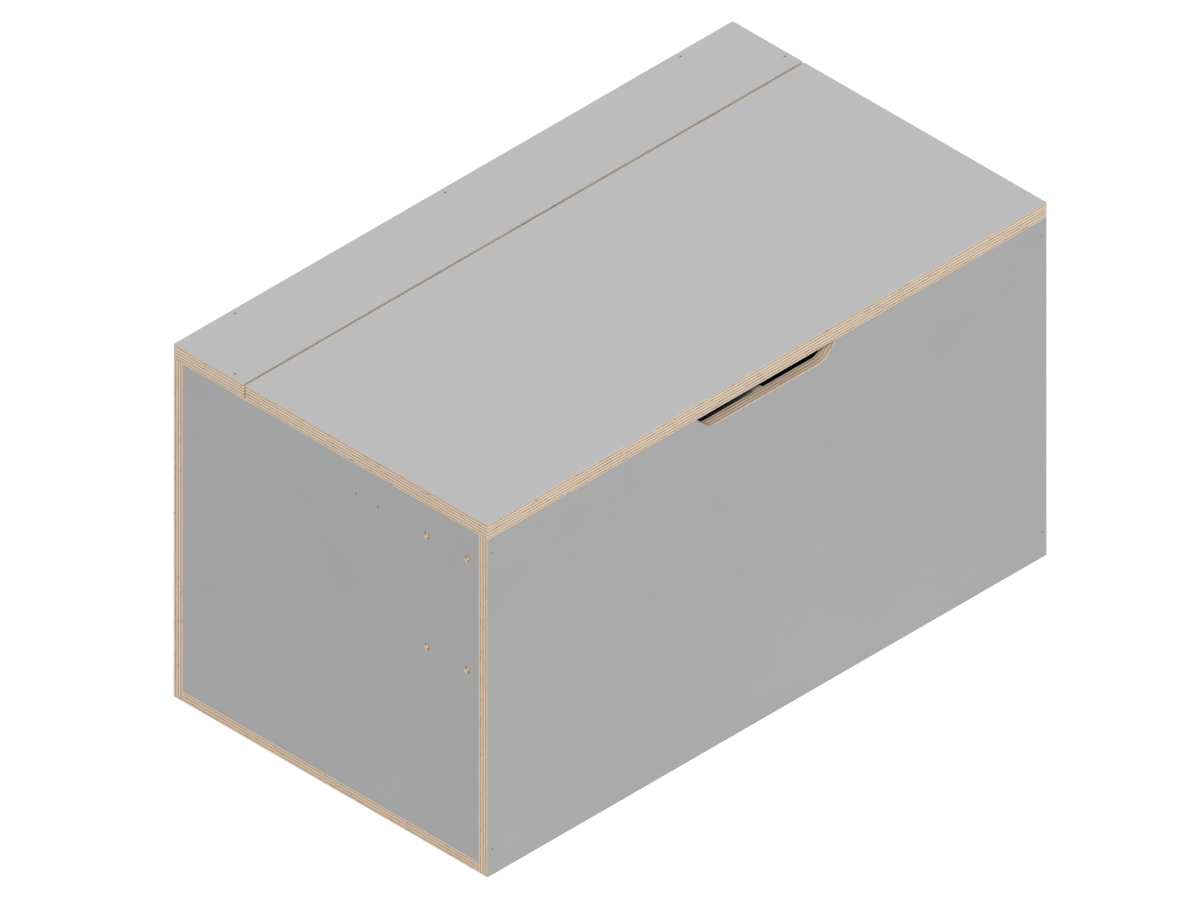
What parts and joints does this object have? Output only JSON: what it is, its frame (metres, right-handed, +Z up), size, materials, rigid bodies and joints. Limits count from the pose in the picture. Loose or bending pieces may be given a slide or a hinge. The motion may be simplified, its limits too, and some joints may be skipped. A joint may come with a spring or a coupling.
{
  "type": "toy box",
  "caption": "Rectangular plywood toy box with grey faces, a centre divider, a flush rear-hinged lid with a stay at each end, and a finger notch in the front.",
  "frame": {"origin": "middle of the base, on the surface the box stands on", "axes": "+X along the length of the box, the front with the finger notch faces -Y, +Z up"},
  "size_m": [0.732, 0.411, 0.4],
  "materials": {
    "laminated_plywood": "matt grey laminate faces, bare layered plywood edges",
    "beech_dowel": "plain turned beech",
    "zinc_screws": "zinc plated",
    "hinge_brass": "turned brass",
    "hinge_steel": "stamped steel",
    "stay_steel": "nickel plated sheet steel",
    "nylon_washer": "natural nylon"
  },
  "bodies": {
    "carcass": {"back_panel": "laminated_plywood", "back_panel_screws": "zinc_screws", "bottom_panel": "laminated_plywood", "bottom_panel_dowels": "beech_dowel", "centre_divider": "laminated_plywood", "divider_dowels": "beech_dowel", "front_panel": "laminated_plywood", "front_panel_screws": "zinc_screws", "left_side_panel": "laminated_plywood", "left_stay_base_rivet": "stay_steel", "left_stay_base_washer": "nylon_washer", "left_stay_plate": "stay_steel", "left_stay_plate_screws": "zinc_screws", "rear_strip_screws": "zinc_screws", "rear_top_strip": "laminated_plywood", "right_side_panel": "laminated_plywood", "right_stay_base_rivet": "stay_steel", "right_stay_base_washer": "nylon_washer", "right_stay_plate": "stay_steel", "right_stay_plate_screws": "zinc_screws", "side_panel_dowels": "beech_dowel", "strip_barrel_left": "hinge_brass", "strip_barrel_middle": "hinge_brass", "strip_barrel_right": "hinge_brass", "strip_barrel_screws": "zinc_screws"},
    "lid": {"left_stay_bracket": "stay_steel", "left_stay_bracket_rivet": "stay_steel", "left_stay_bracket_screws": "zinc_screws", "left_stay_bracket_washer": "nylon_washer", "lid": "laminated_plywood", "lid_barrel_left": "hinge_brass", "lid_barrel_middle": "hinge_brass", "lid_barrel_right": "hinge_brass", "lid_barrel_screws": "zinc_screws", "right_stay_bracket": "stay_steel", "right_stay_bracket_rivet": "stay_steel", "right_stay_bracket_screws": "zinc_screws", "right_stay_bracket_washer": "nylon_washer"},
    "hinge_leaves": {"hinge_leaf_pins": "hinge_steel", "hinge_leaves_left": "hinge_steel", "hinge_leaves_middle": "hinge_steel", "hinge_leaves_right": "hinge_steel"},
    "left_stay_arm": {"left_stay_arm": "stay_steel", "left_stay_elbow_rivet": "stay_steel", "left_stay_elbow_washer": "nylon_washer"},
    "left_stay_link": {"left_stay_link": "stay_steel"},
    "right_stay_arm": {"right_stay_arm": "stay_steel", "right_stay_elbow_rivet": "stay_steel", "right_stay_elbow_washer": "nylon_washer"},
    "right_stay_link": {"right_stay_link": "stay_steel"}
  },
  "joints": [
    {"name": "lid_hinge", "type": "hinge", "parent": "carcass", "child": "lid", "pos_m": [0, 0.11275, 0.4], "axis": [-1, 0, 0], "range_deg": [0, 95]},
    {"name": "hinge_leaves_turn", "type": "hinge", "parent": "carcass", "child": "hinge_leaves", "pos_m": [0, 0.11275, 0.4], "axis": [-1, 0, 0], "range_deg": [0, 47.5]},
    {"name": "left_stay_arm_pivot", "type": "hinge", "parent": "carcass", "child": "left_stay_arm", "pos_m": [0, -0.0475, 0.349], "axis": [-1, 0, 0], "range_deg": [0, 95]},
    {"name": "left_stay_link_pivot", "type": "hinge", "parent": "lid", "child": "left_stay_link", "pos_m": [0, 0.002, 0.372], "axis": [-1, 0, 0], "range_deg": [-95, 0]},
    {"name": "right_stay_arm_pivot", "type": "hinge", "parent": "carcass", "child": "right_stay_arm", "pos_m": [0, -0.0475, 0.349], "axis": [-1, 0, 0], "range_deg": [0, 95]},
    {"name": "right_stay_link_pivot", "type": "hinge", "parent": "lid", "child": "right_stay_link", "pos_m": [0, 0.002, 0.372], "axis": [-1, 0, 0], "range_deg": [-95, 0]}
  ],
  "couplings": [
    {"joint": "hinge_leaves_turn", "follows": "lid_hinge", "ratio": 0.5},
    {"joint": "left_stay_arm_pivot", "follows": "lid_hinge", "ratio": 1},
    {"joint": "left_stay_link_pivot", "follows": "lid_hinge", "ratio": -1},
    {"joint": "right_stay_arm_pivot", "follows": "lid_hinge", "ratio": 1},
    {"joint": "right_stay_link_pivot", "follows": "lid_hinge", "ratio": -1}
  ]
}
